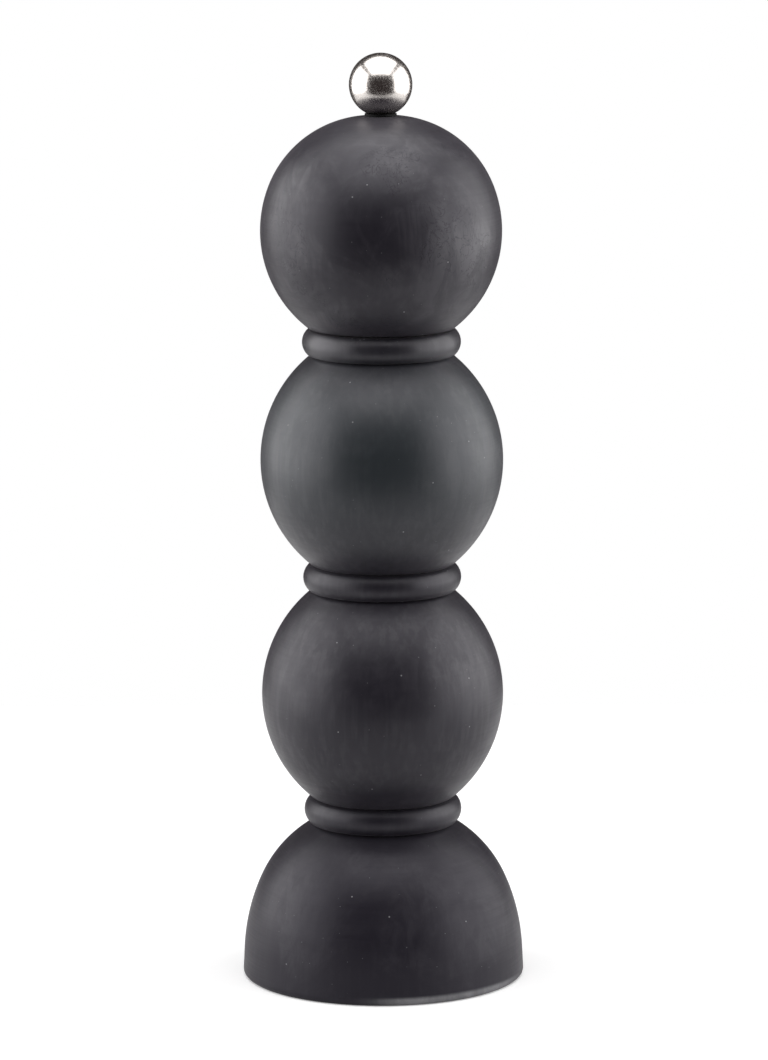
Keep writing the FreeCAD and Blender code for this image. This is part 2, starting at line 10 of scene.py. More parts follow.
import bpy
import numpy as np
from bpy.props import FloatProperty, FloatVectorProperty, IntProperty, PointerProperty
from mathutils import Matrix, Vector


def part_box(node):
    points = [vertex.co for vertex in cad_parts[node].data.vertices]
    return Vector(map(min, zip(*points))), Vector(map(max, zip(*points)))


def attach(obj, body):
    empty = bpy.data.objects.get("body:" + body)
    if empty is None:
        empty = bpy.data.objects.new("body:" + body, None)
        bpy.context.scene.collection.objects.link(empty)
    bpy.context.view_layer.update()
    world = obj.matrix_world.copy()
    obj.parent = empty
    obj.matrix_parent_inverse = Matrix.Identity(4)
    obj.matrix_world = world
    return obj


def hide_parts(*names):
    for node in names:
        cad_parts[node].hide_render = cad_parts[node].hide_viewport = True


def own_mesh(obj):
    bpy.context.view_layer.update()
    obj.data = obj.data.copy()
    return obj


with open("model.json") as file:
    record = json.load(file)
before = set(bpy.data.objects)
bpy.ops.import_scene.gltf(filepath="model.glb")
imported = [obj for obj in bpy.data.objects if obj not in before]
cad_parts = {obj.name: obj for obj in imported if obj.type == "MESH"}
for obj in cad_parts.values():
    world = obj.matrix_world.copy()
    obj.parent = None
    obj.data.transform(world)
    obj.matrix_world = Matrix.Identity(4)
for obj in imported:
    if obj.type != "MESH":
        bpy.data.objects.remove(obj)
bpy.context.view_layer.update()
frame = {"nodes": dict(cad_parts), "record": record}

bl_info = {
    "name": "Turned Pepper Mill",
    "version": (1, 0, 0),
    "blender": (4, 5, 0),
    "location": "3D View > Sidebar > Pepper Mill",
    "description": "Builds the visible pieces of a turned pepper mill around its frame",
    "category": "Add Mesh",
}

MM = 0.001
FULL_TURN = 2 * math.pi


def low(node):
    """The lowest corner of a frame node's box."""
    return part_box(node)[0]


def high(node):
    """The highest corner of a frame node's box."""
    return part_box(node)[1]


# ---------------------------------------------------------------- sizes and colours


def length(name, description, default):
    return FloatProperty(
        name=name, description=description, default=default, unit="LENGTH", precision=5
    )


def number(name, description, default):
    return FloatProperty(name=name, description=description, default=default)


def count(name, description, default, least):
    return IntProperty(name=name, description=description, default=default, min=least)


def colour(name, description, default):
    return FloatVectorProperty(
        name=name, description=description, default=default, subtype="COLOR", size=3, min=0, max=1
    )


class MillTurningSizes(bpy.types.PropertyGroup):
    """Sizes of the two wooden turnings that their boxes don't give."""

    foot_radius: length("Foot radius", "Where the foot's wall meets the table", 36.61 * MM)
    foot_edge_round: length("Foot edge", "Rounding under the foot", 1.3 * MM)
    foot_wall_radius: length("Foot wall radius", "Top of the straight wall", 36.22 * MM)
    foot_wall_height: length("Foot wall height", "Top of the straight wall", 7.34 * MM)
    foot_shoulder_radius: length("Foot shoulder radius", "Where the bell turns in", 31.79 * MM)
    foot_shoulder_height: length("Foot shoulder height", "Where the bell turns in", 25.47 * MM)
    foot_neck_radius: length("Foot neck", "Bell's radius at the lowest seam", 18.70 * MM)
    ring_height: length("Lowest ring", "Height of the lowest ring's middle", 43.67 * MM)
    ring_pitch: length("Ring pitch", "From one ring to the next", 61.2 * MM)
    ring_arc: length("Ring arc", "Radius of a ring's rounding", 4.25 * MM)
    ring_edge_radius: length("Ring edge", "Ring's radius at its seams", 18.95 * MM)
    ball_arc: length("Ball arc", "Radius of a ball's outline", 34.85 * MM)
    ball_edge_radius: length("Ball edge", "Ball's radius at its seams", 18.53 * MM)
    seam_offset: length("Seam offset", "From a ring's middle to its seams", 3.45 * MM)
    seam_half_width: length("Seam half width", "Half the groove's mouth", 0.25 * MM)
    seam_floor_radius: length("Seam floor", "Radius at the bottom of a groove", 17.9 * MM)
    edge_ease: length("Edge ease", "How far sanding rounds an edge", 0.09 * MM)
    gap_edge_radius: length("Joint edge", "Radius where head and body meet", 18.72 * MM)
    chamber_radius: length("Chamber radius", "Bore that holds the pepper", 12.5 * MM)
    mouth_radius: length("Mouth radius", "Counterbore for the tenon", 13.75 * MM)
    mouth_floor: length("Mouth floor", "Bottom of the counterbore", 158.2 * MM)
    mouth_chamfer: length("Mouth chamfer", "Eased edge of the mouth", 0.7 * MM)
    recess_radius: length("Recess radius", "Hollow under the foot", 24.3 * MM)
    recess_depth: length("Recess depth", "Depth of the hollow under the foot", 9.2 * MM)
    socket_radius: length("Socket radius", "Bore for the grinder", 17.4 * MM)
    socket_top: length("Socket top", "Shoulder over the grinder", 33.8 * MM)
    head_edge_radius: length("Head edge", "Head's radius just over the joint", 18.82 * MM)
    head_arc: length("Head arc", "Radius of the head's sides", 31.46 * MM)
    head_shoulder_radius: length("Head shoulder radius", "Where the crown begins", 28.55 * MM)
    head_shoulder_height: length("Head shoulder height", "Where the crown begins", 206.56 * MM)
    head_bore_radius: length("Head bore", "Hole for the spindle", 3.2 * MM)
    tenon_radius: length("Tenon radius", "Plug under the head", 13.4 * MM)
    tenon_chamfer: length("Tenon chamfer", "Eased edge of the tenon", 0.6 * MM)
    turning_gap: length("Joint gap", "Between head and body", 0.35 * MM)
    columns: count("Columns", "Facets round a turning", 256, 64)
    body_rows: count("Body rows", "Rows along the body", 384, 64)
    head_rows: count("Head rows", "Rows along the head", 240, 64)


class MillHardwareSizes(bpy.types.PropertyGroup):
    """Sizes of the metal pieces that their boxes don't give."""

    knob_bore_radius: length("Nut bore", "Threaded hole in the ball nut", 2.0 * MM)
    knob_bore_depth: length("Nut bore depth", "Depth of the threaded hole", 11.4 * MM)
    knob_edge_ease: length("Nut edge", "Rounding round the ball's flat", 0.12 * MM)
    washer_bore: length("Washer bore", "Hole in the nut's washer", 2.3 * MM)
    rod_half_side: length("Rod half side", "Half across the square's flats", 2.2 * MM)
    rod_corner: length("Rod corner", "Rounding of the square rod", 0.4 * MM)
    rod_bottom: length("Rod bottom", "Lower end of the square", 8.4 * MM)
    rod_top: length("Rod top", "Upper end of the square", 212.0 * MM)
    rod_ease: length("Rod ease", "How far the square's ends are eased", 0.25 * MM)
    rod_end_drop: length("Rod end drop", "How much the eased ends lose", 0.15 * MM)
    thread_radius: length("Thread radius", "Outside of the M4 thread", 1.95 * MM)
    thread_pitch: length("Thread pitch", "Rise of one turn", 0.7 * MM)
    thread_depth: length("Thread depth", "Crest to root", 0.32 * MM)
    thread_chamfer: length("Thread chamfer", "Eased tips of the spindle", 0.4 * MM)
    wire_radius: length("Wire radius", "Half the spring's wire", 0.4 * MM)
    spring_turns: number("Spring turns", "Coils of the spring", 5)
    spring_end_turns: number("Closed turns", "Coils at each end that lie flatter", 0.85)
    knob_rows: count("Nut rows", "Rows along the ball nut", 200, 32)
    knob_columns: count("Nut columns", "Facets round the ball nut", 160, 32)
    washer_rows: count("Washer rows", "Rows round the washer's section", 64, 16)
    washer_columns: count("Washer columns", "Facets round the washer", 96, 32)
    rod_columns: count("Rod columns", "Facets round the spindle", 96, 32)
    thread_rows: count("Thread rows", "Rows in one turn of thread", 9, 6)
    spring_rows: count("Spring rows", "Rows along the spring's wire", 240, 60)
    wire_columns: count("Wire columns", "Facets round the spring's wire", 16, 8)


class MillColours(bpy.types.PropertyGroup):
    """Colours of the finishes."""

    lacquer_dark: colour("Lacquer", "Black lacquer", (0.0074, 0.0061, 0.0108))
    lacquer_light: colour("Lacquer haze", "Handled and dusty lacquer", (0.030, 0.0265, 0.036))
    lacquer_cool: colour("Lacquer cast", "Greenish cast of thicker lacquer", (0.015, 0.0220, 0.0250))
    # Dust specks; also the colour of the painted highlight on the foot's lower edge.
    dust: colour("Dust", "Specks of dust", (0.30, 0.30, 0.31))
    beech: colour("Beech", "Raw wood", (0.50, 0.315, 0.175))
    beech_dark: colour("Beech grain", "Late wood and flecks", (0.33, 0.185, 0.09))
    steel: colour("Steel", "Polished steel", (0.77, 0.725, 0.69))
    zinc: colour("Zinc", "Plated fasteners", (0.62, 0.63, 0.66))
    plastic: colour("Plastic", "Moulded grinder parts", (0.028, 0.028, 0.030))
    ceramic: colour("Ceramic", "Burrs", (0.78, 0.76, 0.72))
    pepper: colour("Pepper", "Crumbs of pepper on the burrs", (0.10, 0.06, 0.035))
    room: colour("Room", "Warm tint of the dark room", (1.0, 0.78, 0.78))
    floor: colour("Floor", "Pale table", (0.90, 0.90, 0.90))
    floor_tooth: colour("Floor tooth", "Low places of the table's grain", (0.80, 0.80, 0.80))


class MillStageSettings(bpy.types.PropertyGroup):
    """Camera and light tent."""

    camera_distance: length("Camera distance", "In front of the axis", 1.350)
    camera_height: length("Camera height", "Above the table", 0.352)
    aim_height: length("Aim height", "Height the camera looks at", 0.117)
    camera_offset: length("Camera offset", "To the right of the axis", 0.00124)
    camera_roll: number("Camera roll", "Lean to one side, in degrees", 0.18)
    lens: number("Lens", "Focal length in millimetres", 180.5)
    tent_half_width: length("Tent half width", "From the axis to a side panel", 0.60)
    tent_front: length("Tent front", "Front edge of the side panels", 0.47)
    tent_back: length("Tent back", "Back edge of the side panels", 0.47)
    tent_roof_front: length("Roof front", "Front edge of the roof panel", 0.67)
    tent_roof_back: length("Roof back", "Back edge of the roof panel", 0.42)
    tent_height: length("Tent height", "From the table to the roof", 0.85)
    tent_gap: length("Tent gap", "Dark gap between panels", 0.10)
    panel_glow: number("Panel glow", "Brightness of a panel", 2.4)
    room_glow: number("Room glow", "Brightness of the dark room", 0.026)
    table_glow: number("Table glow", "Lift that hides the table's shading from the camera", 0.22)
    table_shade: number("Table shade", "How much of its colour the table gives reflections", 0.7)
    table_half_width: length("Table half width", "From the axis to a side edge", 0.595)
    table_front: length("Table front", "From the axis to the front edge", 0.31)
    table_back: length("Table back", "From the axis to the back edge", 0.34)


# ---------------------------------------------------------------- outlines


RING_COUNT = 3
FINE_STEP = 0.02 * MM
SMOOTH = "smooth"


def ring_heights(size):
    """Height of each ring's middle, from the lowest up."""
    return [size.ring_height + ring * size.ring_pitch for ring in range(RING_COUNT)]


def eased_corner(before, corner, after, radius):
    """The two points where an arc of that radius leaves one straight edge for the next.

    Each lies on its edge, the radius over the tangent of half the corner's angle away.
    """
    before, corner, after = (np.array(p, float) for p in (before, corner, after))
    back = (before - corner) / np.linalg.norm(before - corner)
    ahead = (after - corner) / np.linalg.norm(after - corner)
    half_angle = math.acos(float(back @ ahead)) / 2
    reach = radius / math.tan(half_angle)
    return tuple(corner + back * reach), tuple(corner + ahead * reach)


def arc_points(start, end, radius):
    """Even points on the arc from start to end; it turns left where radius is positive.

    The centre stands off the chord's middle by the root of radius squared less half the
    chord squared, and the points are the centre plus the radius at even angles.
    """
    chord = end - start
    span = np.linalg.norm(chord)
    left = np.array([-chord[1], chord[0]]) / span
    rise = math.sqrt(max(radius * radius - span * span / 4, 0))
    centre = (start + end) / 2 + left * math.copysign(rise, radius)
    first = math.atan2(*(start - centre)[::-1])
    sweep = 2 * math.asin(min(span / 2 / abs(radius), 1)) * math.copysign(1, radius)
    count = max(int(abs(radius * sweep) / FINE_STEP), 2)
    angles = first + sweep * np.linspace(0, 1, count)
    return centre + abs(radius) * np.stack([np.cos(angles), np.sin(angles)], 1)


def traced(start, *moves):
    """Fine points along an outline in the (radius, height) plane.

    Each move is (radius, height) for a straight edge, (radius, height, arc) for an arc of
    that signed radius, or (radius, height, SMOOTH) for an arc that leaves the last edge
    without a corner: its radius is the chord squared over twice the part of the chord that
    lies across the heading.
    """
    here = np.array(start, float)
    runs = []
    heading = None
    for move in moves:
        there = np.array(move[:2], float)
        bend = move[2] if len(move) > 2 else None
        chord = there - here
        if bend == SMOOTH:
            across = heading[0] * chord[1] - heading[1] * chord[0]
            bend = float(chord @ chord) / (2 * across)
        if bend is None:
            count = max(int(np.linalg.norm(chord) / FINE_STEP), 2)
            run = here + chord * np.linspace(0, 1, count)[:, None]
        else:
            run = arc_points(here, there, bend)
        heading = run[-1] - run[-2]
        heading = heading / np.linalg.norm(heading)
        runs.append(run[:-1])
        here = there
    return np.concatenate([*runs, here[None]])


def even(path):
    """The same path with its points FINE_STEP apart along its length."""
    steps = np.linalg.norm(np.diff(path, axis=0), axis=1)
    along = np.concatenate([[0], np.cumsum(steps)])
    marks = np.linspace(0, along[-1], max(int(along[-1] / FINE_STEP), 8))
    return points_at(path, along, marks)


def points_at(path, along, marks):
    """Points of the path where the running measure along it reaches each mark."""
    return np.stack([np.interp(marks, along, path[:, k]) for k in (0, 1)], 1)


def sanded(path, ease, closed):
    """Edges eased as sandpaper does: a bell-shaped moving average along the path.

    A closed path wraps round.  An open one starts and ends on the axis, so it is carried
    on by its own mirror image there, and its ends stay on the axis.
    """
    path = even(path)
    if closed:
        path = path[:-1]
    reach = int(4 * ease / FINE_STEP) + 1
    offsets = np.arange(-reach, reach + 1) * FINE_STEP
    weights = np.exp(-0.5 * (offsets / ease) ** 2)
    weights /= weights.sum()
    if closed:
        padded = np.concatenate([path[-reach:], path, path[:reach]])
    else:
        mirror = np.array([-1, 1])
        padded = np.concatenate([path[reach:0:-1] * mirror, path, path[-2 : -reach - 2 : -1] * mirror])
    soft = np.stack([np.convolve(padded[:, k], weights, "valid") for k in (0, 1)], 1)
    return np.concatenate([soft, soft[:1]]) if closed else soft


def rows_along(path, count, closed, turn_weight=2.8 * MM):
    """Pick count points, close together where the path bends.

    A point's share is the step's length plus turn_weight times the angle turned there, and
    the points lie at even shares.
    """
    steps = np.diff(path, axis=0)
    heading = np.unwrap(np.arctan2(steps[:, 1], steps[:, 0]))
    turn = np.abs(np.diff(heading, prepend=heading[0]))
    share = np.concatenate([[0], np.cumsum(np.linalg.norm(steps, axis=1) + turn_weight * turn)])
    marks = np.linspace(0, share[-1], count + 1 if closed else count)
    picked = points_at(path, share, marks)
    return picked[:-1] if closed else picked


# ---------------------------------------------------------------- surfaces


POLE_SPREAD = 1e-9
SHARP_EDGE = math.radians(40)


def skin(name, points, close_rows, close_columns=True, sharp=SHARP_EDGE):
    """Mesh object over a grid of points, shape (rows, columns, 3), and the grid points used.

    Neighbouring grid points make a face.  Rows wrap where close_rows is set; otherwise a
    first or last row that lies all in one point becomes a pole of triangles.
    """
    rows, columns = points.shape[:2]
    index = np.arange(rows * columns).reshape(rows, columns)
    flat = points.reshape(-1, 3)
    pole = [False, False]
    if not close_rows:
        for side, row in enumerate((0, -1)):
            if np.ptp(points[row], axis=0).max() < POLE_SPREAD:
                index[row] = index[row, 0]
                pole[side] = True
    down = np.concatenate([index, index[:1]]) if close_rows else index
    across = np.concatenate([down, down[:, :1]], axis=1) if close_columns else down
    a, b = across[:-1, :-1], across[:-1, 1:]
    c, d = across[1:, 1:], across[1:, :-1]
    quads = np.stack([a, b, c, d], -1)
    triangles = []
    first, last = (1 if pole[0] else 0), (len(quads) - 1 if pole[1] else len(quads))
    if pole[0]:
        triangles.append(quads[0][:, [0, 2, 3]])
    if pole[1]:
        triangles.append(quads[-1][:, [0, 1, 2]])
    quads = quads[first:last].reshape(-1, 4)
    triangles = np.concatenate(triangles) if triangles else np.zeros((0, 3), int)
    used, inverse = np.unique(np.concatenate([quads.ravel(), triangles.ravel()]), return_inverse=True)
    corners = inverse.ravel()
    sizes = np.concatenate([np.full(len(quads), 4), np.full(len(triangles), 3)])
    mesh = bpy.data.meshes.new(name)
    mesh.vertices.add(len(used))
    mesh.vertices.foreach_set("co", flat[used].ravel())
    mesh.loops.add(len(corners))
    mesh.loops.foreach_set("vertex_index", corners)
    mesh.polygons.add(len(sizes))
    mesh.polygons.foreach_set("loop_start", np.concatenate([[0], np.cumsum(sizes)[:-1]]))
    mesh.update(calc_edges=True)
    mesh.polygons.foreach_set("use_smooth", np.ones(len(sizes), bool))
    mesh.set_sharp_from_angle(angle=sharp)
    mesh.validate()
    piece = bpy.data.objects.new(name, mesh)
    bpy.context.scene.collection.objects.link(piece)
    return piece, used


def even_angles(count):
    return FULL_TURN * np.arange(count) / count


def swept(radius, angle, height):
    """Points at a radius, an angle about Z and a height, which may be grids, rows or columns.

    A point is its radius times the cosine and sine of its angle, with its height.
    """
    return np.stack(np.broadcast_arrays(radius * np.cos(angle), radius * np.sin(angle), height), -1)


def round_grid(profile, columns):
    """Turn a profile of (radius, height) rows about Z."""
    return swept(profile[:, :1], even_angles(columns), profile[:, 1:])


def mark(piece, used, columns, name, row_values):
    """Store one number per profile row on the piece's points."""
    values = np.repeat(row_values.astype(np.float32), columns)[used]
    attribute = piece.data.attributes.new(name, "FLOAT", "POINT")
    attribute.data.foreach_set("value", values)


def place(piece, body, slot, material, *nodes):
    """The piece rides on a body, takes the finish it is given and stands for frame nodes, which it hides;
    slot is not used.
    """
    piece.data.materials.clear()
    piece.data.materials.append(material)
    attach(piece, body)
    if nodes:
        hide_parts(*nodes)
    return piece


# ---------------------------------------------------------------- material helpers


class Finish:
    """A node tree with one shader, and short ways to add the nodes that feed it.

    Noise and speck scales count features in a metre, before any stretching.  A mask is 0
    where its mark is missing and 1 where it's full.
    """

    def __init__(self, name):
        self.material = bpy.data.materials.new(name)
        self.material.use_nodes = True
        self.tree = self.material.node_tree
        self.shader = self.tree.nodes["Principled BSDF"]
        self.place = self.add("ShaderNodeTexCoord").outputs["Object"]

    def add(self, kind, **settings):
        node = self.tree.nodes.new(kind)
        for key, value in settings.items():
            setattr(node, key, value)
        return node

    def feed(self, socket, value):
        """Link an output, or set a plain value."""
        if isinstance(value, bpy.types.NodeSocket):
            self.tree.links.new(value, socket)
        else:
            socket.default_value = value

    def set(self, **values):
        """Set or link the shader's own sockets, named with _ for a space."""
        for key, value in values.items():
            self.feed(self.shader.inputs[key.replace("_", " ")], value)
        return self

    def stretched(self, scale, offset=(0, 0, 0), turn=(0, 0, 0)):
        node = self.add("ShaderNodeMapping")
        self.feed(node.inputs["Vector"], self.place)
        node.inputs["Scale"].default_value = scale
        node.inputs["Location"].default_value = offset
        node.inputs["Rotation"].default_value = turn
        return node.outputs["Vector"]

    def noise(self, where, scale, detail=3.0, roughness=0.5, distortion=0.0):
        node = self.add("ShaderNodeTexNoise")
        self.feed(node.inputs["Vector"], where)
        node.inputs["Scale"].default_value = scale
        node.inputs["Detail"].default_value = detail
        node.inputs["Roughness"].default_value = roughness
        node.inputs["Distortion"].default_value = distortion
        return node.outputs["Fac"]

    def specks(self, scale, radius, share):
        """White where a random few of the cells hold a tiny dot at their centre."""
        cells = self.add("ShaderNodeTexVoronoi")
        self.feed(cells.inputs["Vector"], self.place)
        cells.inputs["Scale"].default_value = scale
        draw = self.add("ShaderNodeSeparateColor")
        self.feed(draw.inputs[0], cells.outputs["Color"])
        keep = self.math("LESS_THAN", draw.outputs[0], share)
        dot = self.span(cells.outputs["Distance"], radius * scale, radius * scale * 0.4)
        return self.times(keep, dot)

    def distance(self, spot):
        """How far the surface lies from a spot."""
        node = self.add("ShaderNodeVectorMath", operation="DISTANCE")
        self.feed(node.inputs[0], self.place)
        node.inputs[1].default_value = spot
        return node.outputs["Value"]

    def axes(self):
        node = self.add("ShaderNodeSeparateXYZ")
        self.feed(node.inputs[0], self.place)
        return node.outputs

    def math(self, operation, first, second=0.0):
        node = self.add("ShaderNodeMath", operation=operation)
        self.feed(node.inputs[0], first)
        self.feed(node.inputs[1], second)
        return node.outputs[0]

    def times(self, *values):
        return functools.reduce(functools.partial(self.math, "MULTIPLY"), values)

    def plus(self, *values):
        return functools.reduce(functools.partial(self.math, "ADD"), values)

    def larger(self, *values):
        return functools.reduce(functools.partial(self.math, "MAXIMUM"), values)

    def less(self, first, second):
        return self.math("SUBTRACT", first, second)

    def off(self, value, middle):
        """How far a number lies from a middle one, on either side."""
        return self.math("ABSOLUTE", self.less(value, middle))

    def span(self, value, start, end, low=0.0, high=1.0):
        """Map start..end to low..high, clamped, with eased ends."""
        node = self.add("ShaderNodeMapRange", interpolation_type="SMOOTHSTEP")
        self.feed(node.inputs["Value"], value)
        for key, limit in zip(("From Min", "From Max", "To Min", "To Max"), (start, end, low, high)):
            node.inputs[key].default_value = limit
        return node.outputs["Result"]

    def blend(self, share, first, second):
        """Mix two colours."""
        node = self.add("ShaderNodeMix", data_type="RGBA")
        self.feed(node.inputs["Factor"], share)
        for socket, value in zip([s for s in node.inputs if s.type == "RGBA"], (first, second)):
            if not isinstance(value, bpy.types.NodeSocket):
                value = (*value, 1.0)
            self.feed(socket, value)
        return next(s for s in node.outputs if s.type == "RGBA")

    def between(self, share, first, second):
        """Mix two numbers."""
        node = self.add("ShaderNodeMix", data_type="FLOAT")
        self.feed(node.inputs["Factor"], share)
        ends = [s for s in node.inputs if s.name in "AB" and s.type == "VALUE"]
        for socket, value in zip(ends, (first, second)):
            self.feed(socket, value)
        return next(s for s in node.outputs if s.type == "VALUE")

    def stored(self, name):
        return self.add("ShaderNodeAttribute", attribute_name=name).outputs["Fac"]

    def relief(self, height, distance, under=None):
        """Bump from a height of 0..1 that stands for that distance."""
        node = self.add("ShaderNodeBump")
        node.inputs["Distance"].default_value = distance
        self.feed(node.inputs["Height"], height)
        if under is not None:
            self.feed(node.inputs["Normal"], under)
        return node.outputs["Normal"]


def shaded(share, tone):
    """The same colour at a share of its brightness."""
    return tuple(share * part for part in tone)


# ---------------------------------------------------------------- finishes


# Where hands have rubbed the lacquer pale: the spot, how far it reaches and how strong it is.
RUBBED_SPOTS = (
    ((-0.0150, -0.0125, 0.1665), 6.5 * MM, 0.9),
    ((-0.0235, -0.0140, 0.2080), 17.0 * MM, 0.5),
    ((0.0020, -0.0215, 0.2130), 14.0 * MM, 0.45),
    ((0.0240, -0.0190, 0.1930), 13.0 * MM, 0.55),
    ((-0.0250, -0.0200, 0.0260), 15.0 * MM, 0.3),
    ((0.0200, -0.0240, 0.0950), 14.0 * MM, 0.3),
)
# Middle of the painted highlight on the foot's rounded lower edge, front right.
PAINTED_EDGE_HIGHLIGHT_SPOT = (0.018, -0.031, 0.0015)
HEAD_BASE_RISE = 0.655 * MM  # from the top of the body to where the head swells
DULLED_CROWN_SPOT = (0.0, -0.003, 0.2235)
DUSTY_SEAM_SPOT = (0.011, -0.0205)


class Wear:
    """Masks of what handling has done to the lacquer, which differs from ball to ball."""

    def __init__(self, f, height, lower_ring):
        head_base = high("body").z + HEAD_BASE_RISE
        self.patches = f.noise(f.place, 42, 5, 0.62, 0.9)
        self.grain = f.noise(f.stretched((1, 1, 0.03)), 560, 3, 0.55)
        self.smear = f.noise(f.stretched((0.25, 0.25, 1), (1.7, 0.4, 0.9)), 260, 3, 0.55)
        self.wisps = f.noise(f.stretched((1, 1, 0.4), (0.3, 0.1, 0.2), (0.5, 0.2, 0)), 130, 5, 0.65, 1.6)
        curls = f.noise(f.stretched((1, 1, 0.7), (0.8, 0.6, 0.1)), 210, 3, 0.6, 2.2)
        near, tight = 5 * MM, 2 * MM
        self.scuffs = f.times(
            f.span(f.off(curls, 0.5), 0.03, 0.0),
            f.span(f.noise(f.place, 60, 2), 0.50, 0.60),
            f.span(height, head_base - near, head_base + near, 0.2, 1.0),
        )
        self.haze = f.times(
            f.span(self.patches, 0.42, 0.63),
            f.span(self.wisps, 0.38, 0.64, 0.25, 1.0),
            f.span(height, head_base - near, head_base + near, 0.50, 1.0),
        )
        self.streak = f.times(
            f.span(self.grain, 0.44, 0.64),
            f.span(self.smear, 0.35, 0.65, 0.3, 1.0),
            f.span(height, head_base + tight, head_base - tight, 0.25, 1.0),
            f.span(height, lower_ring - 18.67 * MM, lower_ring + 21.33 * MM, 0.25, 1.0),
        )
        spots = [
            f.times(f.span(f.distance(spot), reach, 0.0), strength)
            for spot, reach, strength in RUBBED_SPOTS
        ]
        self.rubbed = f.times(f.plus(*spots), f.span(self.wisps, 0.36, 0.60, 0.3, 1.0))

    def scuffed(self, f, value, depth):
        """The value, darkened by the scuffs."""
        return f.times(value, f.less(1.0, f.times(self.scuffs, depth)))


def dust_and_painted_edge_highlight(f, height, wisps):
    """Specks all over, crumbs caught in the joint, and a painted highlight on the foot's rounded lower
    edge at the front right.
    """
    joint = high("body").z
    spot = (*DUSTY_SEAM_SPOT, joint)
    crumbs = f.times(
        f.specks(900, 0.24 * MM, 0.7),
        f.span(f.off(height, joint), 0.9 * MM, 0.3 * MM),
        f.larger(
            f.times(f.span(f.noise(f.place, 90, 2), 0.48, 0.58), 0.6),
            f.span(f.distance(spot), 10.0 * MM, 6.0 * MM),
        ),
    )
    # Painted highlight: a pale band in the dust colour along the foot's rounded lower edge at the front
    # right.
    edge = f.times(
        f.span(height, 2.6 * MM, 1.4 * MM),
        f.span(f.axes()[0], -12 * MM, 10 * MM),
        f.span(f.distance(PAINTED_EDGE_HIGHLIGHT_SPOT), 32.0 * MM, 14.0 * MM),
        f.span(wisps, 0.3, 0.7, 0.45, 0.75),
    )
    dots = f.times(f.specks(240, 0.26 * MM, 0.40), 0.7)
    fine_dots = f.times(f.specks(520, 0.14 * MM, 0.30), 0.45)
    return f.larger(dots, fine_dots, crumbs, edge)


def lacquered_beech(name, colours):
    """Matt black lacquer outside, raw beech where the attribute raw is 1."""
    f = Finish(name)
    height = f.axes()[2]
    raw = f.stored("raw")
    lower_ring, middle_ring, upper_ring = ring_heights(bpy.context.scene.mill_turning)
    wear = Wear(f, height, lower_ring)
    tone = f.plus(f.times(wear.haze, 0.34), f.times(wear.streak, 0.05), f.times(wear.rubbed, 0.5))
    tone = wear.scuffed(f, tone, 0.8)
    lacquer = f.blend(tone, tuple(colours.lacquer_dark), tuple(colours.lacquer_light))
    upper_ball = f.times(
        f.span(height, middle_ring + 0.13 * MM, middle_ring + 30.13 * MM),
        f.span(height, upper_ring + 3.93 * MM, upper_ring - 16.07 * MM),
    )
    lacquer = f.blend(f.times(upper_ball, 0.75), lacquer, tuple(colours.lacquer_cool))
    # Dust specks and the painted edge highlight, both drawn in the dust colour.
    dust = dust_and_painted_edge_highlight(f, height, wear.wisps)
    lacquer = f.blend(dust, lacquer, tuple(colours.dust))
    wood_grain = f.noise(f.stretched((1, 1, 0.03)), 900, 5, 0.6, 0.3)
    flecks = f.noise(f.stretched((1, 0.25, 0.12), (0.5, 0.2, 0.1)), 1400, 2, 0.5)
    late_wood = f.plus(f.span(wood_grain, 0.35, 0.7, 0, 0.6), f.span(flecks, 0.62, 0.72, 0, 0.35))
    beech = f.blend(late_wood, tuple(colours.beech), tuple(colours.beech_dark))
    f.set(Base_Color=f.blend(raw, lacquer, beech))
    lines = f.noise(f.stretched((0.012, 0.012, 1)), 2600, 2, 0.5)
    roughness = f.plus(
        f.span(wear.haze, 0, 1, 0.44, 0.54),
        f.span(lines, 0.3, 0.7, -0.03, 0.03),
        f.span(wear.smear, 0.3, 0.7, -0.03, 0.03),
        f.times(wear.scuffs, -0.08),
        f.span(f.distance(DULLED_CROWN_SPOT), 15.0 * MM, 7.0 * MM, 0.0, 0.16),
    )
    f.set(Roughness=f.between(raw, f.between(dust, roughness, 0.9), 0.72))
    head_base = high("body").z + HEAD_BASE_RISE
    thickness = f.less(
        f.plus(
            f.span(height, lower_ring - 18.67 * MM, lower_ring + 11.33 * MM, 0.0, 0.36),
            f.span(height, middle_ring - 4.87 * MM, middle_ring + 25.13 * MM, 0.0, 0.32),
        ),
        f.span(height, head_base - 0.6 * MM, head_base, 0.0, 0.32),
    )
    gloss = f.plus(f.times(wear.haze, 0.50), f.times(wear.streak, 0.22), wear.rubbed, thickness)
    gloss = f.math("MINIMUM", wear.scuffed(f, gloss, 0.7), 1.0)
    f.set(Coat_Weight=f.between(raw, gloss, 0.0), Coat_Roughness=0.42, Coat_IOR=1.45)
    f.set(IOR=1.40, Specular_Tint=(0.94, 0.90, 1.0, 1.0))
    f.set(Sheen_Weight=0.09, Sheen_Roughness=0.45, Sheen_Tint=(0.98, 0.93, 1.0, 1.0))
    surface = f.plus(f.times(lines, 0.35), f.times(wear.grain, 0.65))
    fine = f.relief(f.between(raw, surface, f.times(wood_grain, 3.0)), 0.012 * MM)
    return f.set(Normal=f.relief(wear.patches, 0.10 * MM, fine))


